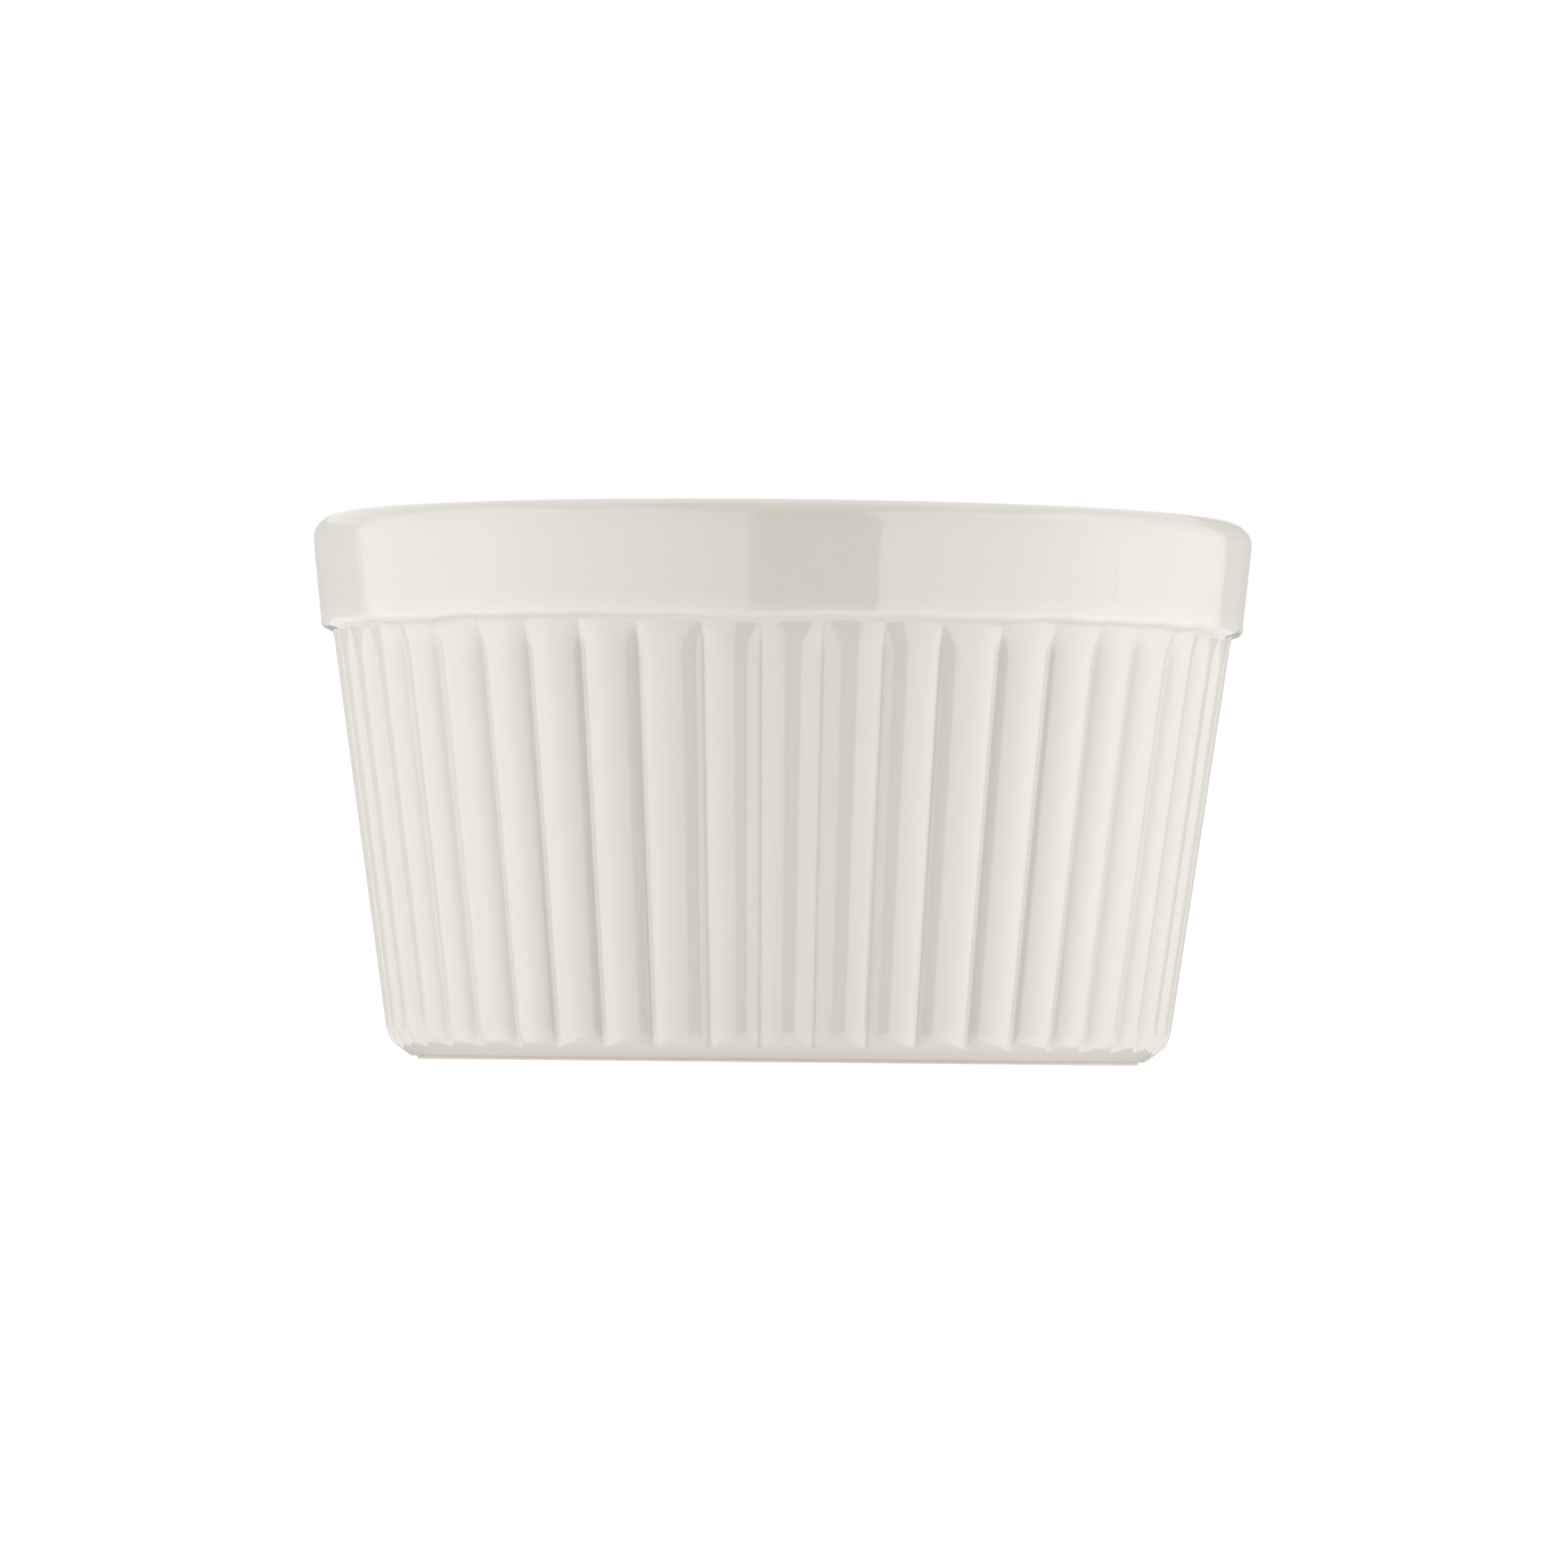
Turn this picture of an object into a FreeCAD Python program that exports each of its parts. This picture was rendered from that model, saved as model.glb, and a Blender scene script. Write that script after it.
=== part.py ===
"""A fluted ceramic ramekin: a fired clay body, its glaze coat and the glaze under its base.

Millimetres, +Z up along the axis. The origin is the centre of the foot ring's resting plane.
"""

import FreeCAD, Part

import math
import os

# Overall size
rim_diameter = 90.0
height = 52.0

# Plain band below the rim
band_height = 10.7
band_taper = 6.0
rim_outer_round = 2.2
rim_inner_round = 2.0
band_lower_round = 0.5

# Cove from the band down to the flutes
band_overhang = 1.04
cove_slope = 16.0
cove_round = 2.2
cove_margin = 0.12

# Fluted wall
flute_count = 46
first_valley_angle = 1.2
flute_depth_at_band = 0.72
flute_depth_at_base = 0.7
wall_taper = 8.0
valley_round_at_band = 1.2
valley_round_at_base = 0.7
# Stretch below the band in which the valleys run shallow, and the share of their depth left above it
funnel_foot_drop = 3.4
funnel_top_drop = 0.3
funnel_depth = 0.36

# Rounded bottom edge, undercut and foot ring
base_edge_round = 3.5
undercut_slope = 36.0
undercut_height = 2.23
foot_height = 0.3
foot_ring_width = 3.4
foot_edge_round = 0.2
recess_depth = 1.3
recess_slope = 45.0

# Well
rim_wall = 5.6
well_taper = 6.5
floor_thickness = 4.4
well_corner_round = 8.0

# Glaze
glaze_thickness = 0.25
glaze_pool_in_valley = 0.15
glaze_stop_above_foot = 0.1

# Depth to which a form is carried inside the form that it joins or cuts
overlap = 1.0
# Distance that the bottom trim stands off the flutes' crests, so that only its rounding cuts them
trim_clearance = 0.08
# Nearness at which an edge counts as the one looked for
match_tolerance = 0.01

origin = FreeCAD.Vector(0, 0, 0)
axis = FreeCAD.Vector(0, 0, 1)

# Places worked out from the sizes above
rim_radius = rim_diameter / 2
band_bottom = height - band_height
funnel_foot = band_bottom - funnel_foot_drop
funnel_top = band_bottom - funnel_top_drop
well_floor = recess_depth + floor_thickness
glaze_line = foot_height + glaze_stop_above_foot


def slant(angle):
    """Sideways shift per unit of height on a line that leans by an angle from the axis."""
    return math.tan(math.radians(angle))


def line(r, z, tilt, inset):
    """Line of a turned outline through (r, z), tilted up from level and moved in by an inset."""
    return r - inset * math.sin(tilt), z + inset * math.cos(tilt), tilt


def rising(r, z, rise, inset=0.0):
    """Line of a turned outline that rises outwards from level by an angle."""
    return line(r, z, math.radians(rise), inset)


def leaning(r, z, lean, inset=0.0):
    """Line of a turned outline that leans outwards from upright by an angle."""
    return line(r, z, math.pi / 2 - math.radians(lean), inset)


def level(z):
    """Level line of a turned outline at a height."""
    return rising(0, z, 0)


def crossing(first, second):
    """Point (r, z) where two lines of a turned outline meet."""
    r1, z1, tilt1 = first
    r2, z2, tilt2 = second
    along = ((r2 - r1) * math.sin(tilt2) - (z2 - z1) * math.cos(tilt2)) / math.sin(tilt2 - tilt1)
    return r1 + along * math.cos(tilt1), z1 + along * math.sin(tilt1)


def rounded_outline(corners):
    """Closed wire through (r, z, rounding) corners, with a tangent arc at each rounded one."""
    places = [FreeCAD.Vector(r, 0, z) for r, z, rounding in corners]
    bends = []
    for i, corner in enumerate(places):
        rounding = corners[i][2]
        back = (places[i - 1] - corner).normalize()
        ahead = (places[(i + 1) % len(places)] - corner).normalize()
        half_angle = back.getAngle(ahead) / 2
        reach = rounding / math.tan(half_angle)
        inward = (back + ahead).normalize() * rounding * (1 / math.sin(half_angle) - 1)
        bends.append((corner + back * reach, corner + inward, corner + ahead * reach))
    edges = []
    for i, (start, middle, end) in enumerate(bends):
        edges.append(Part.makeLine(bends[i - 1][2], start))
        if corners[i][2] > 0:
            edges.append(Part.Arc(start, middle, end).toShape())
    return Part.Wire(edges)


def turned(corners):
    """Solid of one full turn about the axis from an outline's corners."""
    return Part.Face(rounded_outline(corners)).revolve(origin, axis)


def band_foot_radius():
    """Radius of the band's lower edge, from the band's taper and the rounding that just reaches the rim."""
    tilt = math.radians(band_taper)
    round_centre = rim_radius - rim_outer_round
    corner = round_centre + rim_outer_round * (1 + math.sin(tilt)) / math.cos(tilt)
    return corner - band_height * slant(band_taper)


def crest_radius(z):
    """Radius of the flutes' crests at a height."""
    return band_foot_radius() - band_overhang - (band_bottom - z) * slant(wall_taper)


def along_wall(z, at_base, at_band):
    """Size at a height, where it changes evenly from the resting plane up to the band."""
    return at_base + (at_band - at_base) * z / band_bottom


def valley_depth(z):
    """Depth of the valleys below the flutes' crests at a height."""
    full = along_wall(z, flute_depth_at_base, flute_depth_at_band)
    return full * (1 if z <= funnel_foot else funnel_depth)


def undercut_line(inset):
    """Line of the undercut between the wall and the foot ring."""
    return rising(crest_radius(undercut_height), undercut_height, undercut_slope, inset)


def foot_radius():
    """Outer radius of the bare foot ring, which stands flush with the clay of the undercut."""
    return crossing(undercut_line(glaze_thickness), level(foot_height))[0]


def scalloped_section(z, inset, pool):
    """Closed wire at a height: an outward arc for each flute and a tangent hollow arc for each valley."""
    crest = crest_radius(z) - inset
    depth = valley_depth(z) + pool
    valley_round = along_wall(z, valley_round_at_base, valley_round_at_band)
    half_pitch = math.pi / flute_count
    hollow = crest - depth + valley_round
    spread = math.cos(half_pitch)
    between = crest ** 2 + hollow ** 2 - 2 * crest * hollow * spread
    flute_round = (between - valley_round ** 2) / (2 * (crest - hollow * spread + valley_round))
    share = flute_round / (flute_round + valley_round)
    middle = crest - flute_round
    joint_x = middle + (hollow * spread - middle) * share
    joint_y = hollow * math.sin(half_pitch) * share
    joint = math.hypot(joint_x, joint_y)
    joint_angle = math.atan2(joint_y, joint_x)

    def place(radius, angle):
        return FreeCAD.Vector(radius * math.cos(angle), radius * math.sin(angle), z)

    edges = []
    for i in range(flute_count):
        top = math.radians(first_valley_angle) + (2 * i + 1) * half_pitch
        valley = top + half_pitch
        flute_end = place(joint, top + joint_angle)
        valley_end = place(joint, valley + half_pitch - joint_angle)
        flute = Part.Arc(place(joint, top - joint_angle), place(crest, top), flute_end)
        edges.append(flute.toShape())
        edges.append(Part.Arc(flute_end, place(crest - depth, valley), valley_end).toShape())
    return Part.Wire(edges)


def fluted_cone(inset, pool):
    """Full solid cone with a fluted side, carried past the undercut below and into the band above."""
    levels = (-overlap, funnel_foot, funnel_top, band_bottom + overlap)
    return Part.makeLoft([scalloped_section(z, inset, pool) for z in levels], True, True)


def base_trim(inset, bottom, bottom_round):
    """Turned envelope that rounds the flutes' lower ends, cuts the undercut and ends at a flat bottom."""
    wall = leaning(crest_radius(0) + trim_clearance, 0, wall_taper, inset)
    undercut = undercut_line(inset)
    top = band_bottom + 2 * overlap
    foot_top = max(bottom, foot_height)
    foot_r = crossing(undercut, level(foot_top))[0]
    corners = [(0, bottom, 0)]
    if foot_top > bottom:
        corners.append((foot_r, bottom, bottom_round))
    corners += [
        (foot_r, foot_top, 0),
        (*crossing(wall, undercut), base_edge_round - inset),
        (*crossing(wall, level(top)), 0),
        (0, top, 0),
    ]
    return turned(corners)


def rim_disc(inset, pool):
    """Turned solid disc with the rim's outer rounding, the tapered band and the cove under it."""
    band_edge = band_foot_radius()
    top = height - inset
    band = leaning(band_edge, band_bottom, band_taper, inset)
    cove = rising(band_edge, band_bottom, cove_slope, inset)
    core_r = crest_radius(band_bottom) - flute_depth_at_band - pool - cove_margin
    core = leaning(core_r, band_bottom, wall_taper, inset)
    cove_r, cove_z = crossing(cove, core)
    lower = cove_z - cove_round
    return turned(
        [
            (0, lower, 0),
            (*crossing(core, level(lower)), 0),
            (cove_r, cove_z, cove_round + inset),
            (*crossing(cove, band), band_lower_round - inset),
            (*crossing(band, level(top)), rim_outer_round - inset),
            (0, top, 0),
        ]
    )


def well_radius(z, inset):
    """Radius of the well's side at a height, widened by an inset for the clay behind the glaze."""
    side = leaning(rim_radius - rim_wall, height, well_taper, -inset)
    return crossing(side, level(z))[0]


def well_space(inset):
    """Turned space of the well, carried above the rim."""
    top = height + overlap
    floor = well_floor - inset
    return turned(
        [
            (0, floor, 0),
            (well_radius(floor, inset), floor, well_corner_round + inset),
            (well_radius(top, inset), top, 0),
            (0, top, 0),
        ]
    )


def round_inner_rim(shape, inset):
    """Round the edge where the well meets the flat of the rim."""
    top = height - inset
    mouth = well_radius(top, inset)
    rings = [edge for edge in shape.Edges if isinstance(edge.Curve, Part.Circle)]
    inner = [
        edge
        for edge in rings
        if abs(edge.Curve.Center.z - top) < match_tolerance
        and abs(edge.Curve.Radius - mouth) < match_tolerance
    ]
    return shape.makeFillet(rim_inner_round - inset, inner)


def vessel(inset, pool, bottom, bottom_round):
    """Open fluted vessel, drawn in by an inset all over, with its flat underside at a height."""
    flutes = fluted_cone(inset, pool).common(base_trim(inset, bottom, bottom_round))
    outside = flutes.fuse(rim_disc(inset, pool))
    return round_inner_rim(outside.cut(well_space(inset)), inset)


def recess_corners(inset, lower):
    """Outline of the recess inside the foot ring, from a height up to its ceiling, drawn in by an inset."""
    ceiling = recess_depth - inset
    side = rising(foot_radius() - foot_ring_width, 0, -recess_slope, -inset)
    return [
        (*crossing(side, level(lower)), 0),
        (*crossing(side, level(ceiling)), 0),
        (0, ceiling, 0),
    ]


def ceramic_body():
    """Fired clay body with its fluted wall, well, bare foot ring and recessed base."""
    body = vessel(glaze_thickness, glaze_pool_in_valley, 0, foot_edge_round)
    return body.cut(turned([(0, -overlap, 0)] + recess_corners(0, -overlap)))


def glaze_coat(body):
    """Glaze over the outside, rim and well, which stops just above the bare foot ring."""
    coat = vessel(0, 0, glaze_line, 0)
    core_r = foot_radius() - foot_ring_width / 2
    core_top = recess_depth + floor_thickness / 2
    core = Part.makeCylinder(core_r, core_top, origin, axis)
    return coat.cut(core).cut(body)


def base_glaze():
    """Glaze on the ceiling and side of the recess, which stops just above the bare foot ring."""
    face = recess_corners(glaze_thickness, glaze_line)
    return turned(recess_corners(0, glaze_line) + face[::-1])


os.makedirs("parts", exist_ok=True)
clay = ceramic_body()
nodes = {
    "ceramic_body": clay,
    "glaze_coat": glaze_coat(clay),
    "base_glaze": base_glaze(),
}
for name, shape in nodes.items():
    shape.exportStep(os.path.join("parts", name + ".step"))
    print(name, len(shape.Solids), shape.isValid(), round(shape.Volume, 1))
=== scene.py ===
"""Fluted ivory ramekin: its fired clay, its glaze and a plain studio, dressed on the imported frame."""

import logging
import math
from dataclasses import dataclass
from enum import Enum

import bpy
import numpy as np
from mathutils import Matrix, Vector


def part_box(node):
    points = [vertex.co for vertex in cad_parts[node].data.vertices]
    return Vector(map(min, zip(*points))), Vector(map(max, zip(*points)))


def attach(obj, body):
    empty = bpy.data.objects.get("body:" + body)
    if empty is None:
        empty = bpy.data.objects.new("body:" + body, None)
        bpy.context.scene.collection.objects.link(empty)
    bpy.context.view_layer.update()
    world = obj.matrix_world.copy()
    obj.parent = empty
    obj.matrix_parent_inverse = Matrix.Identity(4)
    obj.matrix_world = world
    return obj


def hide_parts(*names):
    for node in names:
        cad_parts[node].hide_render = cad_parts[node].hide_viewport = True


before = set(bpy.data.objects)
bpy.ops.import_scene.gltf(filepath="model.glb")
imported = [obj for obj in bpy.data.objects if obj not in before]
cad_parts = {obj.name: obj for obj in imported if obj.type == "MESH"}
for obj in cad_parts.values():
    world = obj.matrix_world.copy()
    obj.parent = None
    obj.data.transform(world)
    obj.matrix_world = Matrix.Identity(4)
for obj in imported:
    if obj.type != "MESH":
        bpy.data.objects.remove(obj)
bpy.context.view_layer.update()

log = logging.getLogger("ramekin")
BODY = "root"
MM = 0.001

# Glaze depth on plain faces, between 0 where it thins over an edge under a painted highlight and 1 where it
# pools under painted shade.
PLAIN_DEPTH = 0.5

# Places of the colour sockets on a mix node.
MIX_FIRST = 6
MIX_SECOND = 7
MIX_RESULT = 2

Corner = tuple[float, float, float]
Colour = tuple[float, float, float, float]


class Slot(Enum):
    """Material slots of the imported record."""

    CLAY = "fired_clay"
    GLAZE = "ivory_glaze"


def tone(red: int, green: int, blue: int) -> Colour:
    """Linear colour of a display colour, by the standard display curve.

    Args:
        red: red in steps of 255.
        green: green in steps of 255.
        blue: blue in steps of 255.

    Returns:
        The linear colour, opaque.
    """
    display = np.array([red, green, blue]) / 255
    linear = np.where(display <= 0.04045, display / 12.92, ((display + 0.055) / 1.055) ** 2.4)
    return (*linear.tolist(), 1.0)


def rounded_path(corners: list[Corner], steps: int) -> np.ndarray:
    """Turned outline with a tangent arc at each rounded corner.

    The arc's centre lies on the bisector of the corner's two sides, at the rounding divided by
    the sine of half their angle, and the arc runs between its two tangent points.

    Args:
        corners: (radius, height, rounding) of each corner, along the outline.
        steps: number of steps in each arc.

    Returns:
        Array of (radius, height) points along the outline.
    """
    places = np.array([corner[:2] for corner in corners])
    pieces = [places[:1]]
    for before, (r, z, rounding), after in zip(places, corners[1:-1], places[2:]):
        corner = np.array([r, z])
        if rounding == 0:
            pieces.append(corner[None])
            continue
        back = (before - corner) / np.linalg.norm(before - corner)
        ahead = (after - corner) / np.linalg.norm(after - corner)
        half = math.acos(float(np.clip(back @ ahead, -1, 1))) / 2
        bisector = (back + ahead) / np.linalg.norm(back + ahead)
        centre = corner + bisector * rounding / math.sin(half)
        start = corner + back * rounding / math.tan(half) - centre
        end = corner + ahead * rounding / math.tan(half) - centre
        first = math.atan2(start[1], start[0])
        sweep = math.atan2(start[0] * end[1] - start[1] * end[0], float(start @ end))
        angle = first + sweep * np.linspace(0, 1, steps + 1)
        pieces.append(centre + rounding * np.stack([np.cos(angle), np.sin(angle)], axis=1))
    pieces.append(places[-1:])
    return np.concatenate(pieces)


def soft_max(first: np.ndarray, second: np.ndarray, blend: float) -> np.ndarray:
    """Larger of two surfaces, rounded: half of their sum plus the root of squared gap and blend."""
    return (first + second + np.sqrt((first - second) ** 2 + blend**2)) / 2


def soft_min(first: np.ndarray, second: np.ndarray, blend: float) -> np.ndarray:
    """Smaller of two surfaces, with their crossing rounded as in soft_max."""
    return -soft_max(-first, -second, blend)


def wave(theta: np.ndarray, orders: tuple[int, ...], seed: int) -> np.ndarray:
    """Slow unevenness round the pot: a sum of cosines of whole orders with seeded phases.

    Args:
        theta: angles round the axis.
        orders: number of waves round the pot in each cosine.
        seed: seed of the phases.

    Returns:
        The unevenness at each angle, of unit spread.
    """
    phases = np.random.default_rng(seed).uniform(0, 2 * math.pi, len(orders))
    total = sum(np.cos(order * theta + phase) for order, phase in zip(orders, phases))
    return total / math.sqrt(len(orders) / 2)


def turned_rows(path: np.ndarray, theta: np.ndarray) -> np.ndarray:
    """Rows of a turned surface: each (radius, height) of the path carried round the axis.

    Args:
        path: (radius, height) points.
        theta: angles round the axis.

    Returns:
        Grid of points, one row for each point of the path.
    """
    return round_rows(np.repeat(path[:, :1], len(theta), axis=1), path[:, 1], theta)


def round_rows(radius: np.ndarray, z: np.ndarray, theta: np.ndarray) -> np.ndarray:
    """Grid of points in polar form: the radius times the angle's cosine and sine, and the height.

    Args:
        radius: radius of each point, by row and angle.
        z: height of each row.
        theta: angles round the axis.

    Returns:
        Grid of points.
    """
    x = radius * np.cos(theta)
    y = radius * np.sin(theta)
    return np.stack([x, y, np.broadcast_to(z[:, None], radius.shape)], axis=2)


def grid_normals(rows: np.ndarray) -> np.ndarray:
    """Unit normals of a grid that closes round the axis: the cross product of its two directions.

    Args:
        rows: grid of points.

    Returns:
        Grid of unit normals.
    """
    along = np.gradient(rows, axis=0)
    across = np.roll(rows, -1, axis=1) - np.roll(rows, 1, axis=1)
    normals = np.cross(across, along)
    return normals / np.linalg.norm(normals, axis=2, keepdims=True)


def lattice_piece(name: str, rows: np.ndarray, poles: tuple[float, float]) -> bpy.types.Object:
    """Closed piece from a grid of rings: quads between the rings and a fan of triangles at each end.

    Args:
        name: name of the piece.
        rows: grid of points, each row a ring round the axis.
        poles: heights on the axis of the points that close the first and the last ring.

    Returns:
        The new object, smooth shaded, at the origin.
    """
    count, around, _ = rows.shape
    ends = [[0, 0, poles[0]], [0, 0, poles[1]]]
    points = np.concatenate([rows.reshape(-1, 3), ends])
    index = np.arange(count * around).reshape(count, around)
    beside = np.roll(index, -1, axis=1)
    quads = np.stack([index[:-1], beside[:-1], beside[1:], index[1:]], axis=2).reshape(-1, 4)
    first = np.stack([np.full(around, count * around), beside[0], index[0]], axis=1)
    last = np.stack([np.full(around, count * around + 1), index[-1], beside[-1]], axis=1)
    mesh = bpy.data.meshes.new(name)
    mesh.from_pydata(points.tolist(), [], quads.tolist() + first.tolist() + last.tolist())
    mesh.polygons.foreach_set("use_smooth", np.ones(len(mesh.polygons), dtype=bool))
    mesh.update()
    piece = bpy.data.objects.new(name, mesh)
    bpy.context.scene.collection.objects.link(piece)
    return piece


def point_values(piece: bpy.types.Object, name: str, values: np.ndarray, ends: tuple[float, float]) -> None:
    """Store a value for each point of a lattice piece, with the values at its two poles."""
    stored = piece.data.attributes.new(name, "FLOAT", "POINT")
    stored.data.foreach_set("value", np.concatenate([values.ravel(), ends]).astype(np.float32))


@dataclass
class VesselForm:
    """Form of the glazed ramekin: a fluted tapered wall under a plain band, and a smooth well.

    Lengths are in metres and angles in radians. The rim's radius and the height come from the frame.
    Each run of rows up the outside is its start and its number of rows. The base's runs start above
    the resting plane, and the band's runs start from the band's lower edge.
    """

    rim_radius: float
    height: float
    band_height: float = 10.7 * MM
    band_taper: float = math.radians(6.0)
    rim_outer_round: float = 2.2 * MM
    rim_inner_round: float = 2.0 * MM
    band_lower_round: float = 0.85 * MM
    band_overhang: float = 1.04 * MM
    cove_slope: float = math.radians(16.0)
    cove_round: float = 2.2 * MM
    cove_margin: float = 0.12 * MM
    funnel_foot: float = 3.4 * MM
    funnel_top: float = 0.3 * MM
    funnel_depth: float = 0.36
    flute_count: int = 46
    first_valley: float = math.radians(1.2)
    flute_depth_at_band: float = 0.72 * MM
    flute_depth_at_base: float = 0.7 * MM
    run_out_depth: float = 0.85
    run_out_height: float = 5.0 * MM
    wall_taper: float = math.radians(8.2)
    valley_round_at_band: float = 0.3 * MM
    valley_round_at_base: float = 0.25 * MM
    groove_share: float = 0.17
    groove_width: float = 0.32 * MM
    tuck_height: float = 3.4 * MM
    tuck_round: float = 3.9 * MM
    crease_soften: float = 0.08 * MM
    undercut_slope: float = math.radians(34.5)
    undercut_height: float = 1.94 * MM
    glaze_line: float = 0.4 * MM
    rim_wall: float = 5.6 * MM
    well_taper: float = math.radians(6.5)
    well_floor: float = 5.7 * MM
    well_corner_round: float = 8.0 * MM
    glaze_soften: float = 0.22 * MM
    cove_drift: float = 0.1 * MM
    depth_drift: float = 0.05
    valley_drift: float = math.radians(0.25)
    samples_per_flute: int = 12
    valley_crowding: float = 0.8
    arc_steps: int = 48
    rim_arc_steps: int = 14
    valley_waves: tuple[int, ...] = (4, 9, 15, 21)
    depth_waves: tuple[int, ...] = (3, 5, 8, 13)
    cove_waves: tuple[int, ...] = (5, 9, 14, 23, 37)
    valley_seed: int = 7
    depth_seed: int = 4
    cove_seed: int = 11
    foot_rows: int = 4
    base_runs: tuple[tuple[float, int], ...] = ((1.1 * MM, 20), (2.1 * MM, 8), (4.2 * MM, 24))
    band_runs: tuple[tuple[float, int], ...] = ((-3.6 * MM, 22), (-0.6 * MM, 15), (0.5 * MM, 5))

    def angles(self) -> np.ndarray:
        """Angles round the axis, crowded towards the valleys by a sine of the place in each flute.

        Returns:
            The angles in order.
        """
        place = np.arange(self.flute_count * self.samples_per_flute) / self.samples_per_flute
        place = place - self.valley_crowding * np.sin(2 * math.pi * place) / (2 * math.pi)
        even = self.first_valley + place * 2 * math.pi / self.flute_count
        return even - self.drift(even)

    def drift(self, theta: np.ndarray) -> np.ndarray:
        """Small uneven turn of the flutes about their even places."""
        return self.valley_drift * wave(theta, self.valley_waves, self.valley_seed)

    def band_bottom(self) -> float:
        """Height of the band's lower edge."""
        return self.height - self.band_height

    def rim_corner(self) -> float:
        """Radius of the sharp corner whose rounding just reaches the rim's radius.

        The corner lies outside the rounding's centre by the rounding times one plus the sine of the
        band's lean, divided by its cosine.

        Returns:
            The corner's radius.
        """
        tilt = self.band_taper
        spread = self.rim_outer_round * (1 + math.sin(tilt)) / math.cos(tilt)
        return self.rim_radius - self.rim_outer_round + spread

    def band_edge(self) -> float:
        """Radius of the band's lower edge."""
        return self.rim_corner() - self.band_height * math.tan(self.band_taper)

    def taper(self, z: np.ndarray | float) -> np.ndarray | float:
        """Radius of the wall's straight taper at a height below the band."""
        fall = (self.band_bottom() - z) * math.tan(self.wall_taper)
        return self.band_edge() - self.band_overhang - fall

    def crest(self, z: np.ndarray | float) -> np.ndarray | float:
        """Radius of the flutes' crests: the taper, tucked in by a parabola above the undercut."""
        return self.taper(z) - np.maximum(self.tuck_height - z, 0) ** 2 / (2 * self.tuck_round)

    def depth(self, z: np.ndarray | float) -> np.ndarray | float:
        """Depth of the flutes' valleys below their crests, which lessens towards both ends.

        Near the base it lessens along a parabola, and under the band along a cubic with level ends.

        Args:
            z: heights.

        Returns:
            The depth at each height.
        """
        share = np.clip(z / self.band_bottom(), 0, 1)
        full = self.flute_depth_at_base + share * (self.flute_depth_at_band - self.flute_depth_at_base)
        climb = np.clip(z / self.run_out_height, 0, 1)
        low_end = self.run_out_depth + (1 - self.run_out_depth) * climb * (2 - climb)
        below = self.band_bottom() - z
        rise = np.clip((self.funnel_foot - below) / (self.funnel_foot - self.funnel_top), 0, 1)
        high_end = 1 - (1 - self.funnel_depth) * rise**2 * (3 - 2 * rise)
        return full * low_end * high_end

    def well_radius(self, z: float) -> float:
        """Radius of the well's side at a height: a straight taper below the rim."""
        return self.rim_radius - self.rim_wall - (self.height - z) * math.tan(self.well_taper)

    def flutes(self, z: np.ndarray, theta: np.ndarray) -> np.ndarray:
        """Radius of the fluted wall: outward arcs joined by tangent hollow arcs.

        On a level section the flute's arc has its centre on the line to its crest, the valley's on
        the line to its root, and both meet on the line between those centres. The radius at an angle
        is where the ray at that angle leaves the flute's circle, or meets the valley's. A narrow
        bell-shaped groove along the root steepens the flanks there.

        Args:
            z: heights, one for each row.
            theta: angles round the axis.

        Returns:
            Grid of radii.
        """
        half = math.pi / self.flute_count
        share = np.clip(z / self.band_bottom(), 0, 1)[:, None]
        valley = self.valley_round_at_base + share * (self.valley_round_at_band - self.valley_round_at_base)
        uneven = 1 + self.depth_drift * wave(theta, self.depth_waves, self.depth_seed)[None, :]
        depth = self.depth(z)[:, None] * uneven
        crest = self.crest(z)[:, None]
        hollow = crest - depth + valley
        gap = crest**2 + hollow**2 - 2 * crest * hollow * math.cos(half)
        lobe = (gap - valley**2) / (2 * (crest - hollow * math.cos(half) + valley))
        middle = crest - lobe
        part = lobe / (lobe + valley)
        joint_x = middle + (hollow * math.cos(half) - middle) * part
        joint = np.arctan2(hollow * math.sin(half) * part, joint_x)
        even = theta + self.drift(theta) - self.first_valley
        off_crest = np.abs(np.mod(even, 2 * half) - half)[None, :]
        off_root = half - off_crest
        on_lobe = middle * np.cos(off_crest) + np.sqrt(
            np.maximum(lobe**2 - (middle * np.sin(off_crest)) ** 2, 0)
        )
        on_valley = hollow * np.cos(off_root) - np.sqrt(
            np.maximum(valley**2 - (hollow * np.sin(off_root)) ** 2, 0)
        )
        arcs = np.where(off_crest < joint, on_lobe, on_valley)
        groove = np.exp(-((off_root * hollow / self.groove_width) ** 2))
        return arcs - self.groove_share * depth * groove

    def cove_path(self) -> np.ndarray:
        """Outline of the band and of the cove under it, carried down inside the flutes.

        The cove's slope meets the line inside the flutes where its way in equals the overhang, the
        line's depth and the wall's own fall.

        Returns:
            Array of (radius, height) points, upwards.
        """
        edge = self.band_edge()
        bottom = self.band_bottom()
        inside = self.flute_depth_at_band * (1 + self.groove_share) + self.cove_margin
        closing = 1 / math.tan(self.cove_slope) - math.tan(self.wall_taper)
        drop = (self.band_overhang + inside) / closing
        corners = [
            (self.taper(0.0) - inside, 0.0, 0.0),
            (self.taper(bottom - drop) - inside, bottom - drop, self.cove_round),
            (edge, bottom, self.band_lower_round),
            (self.rim_corner(), self.height, 0.0),
        ]
        return rounded_path(corners, self.arc_steps)

    def undercut(self, z: np.ndarray) -> np.ndarray:
        """Radius of the cone that cuts the flutes' lower ends off, at a height."""
        rise = z - self.undercut_height
        return self.taper(self.undercut_height) + rise / math.tan(self.undercut_slope)

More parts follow.
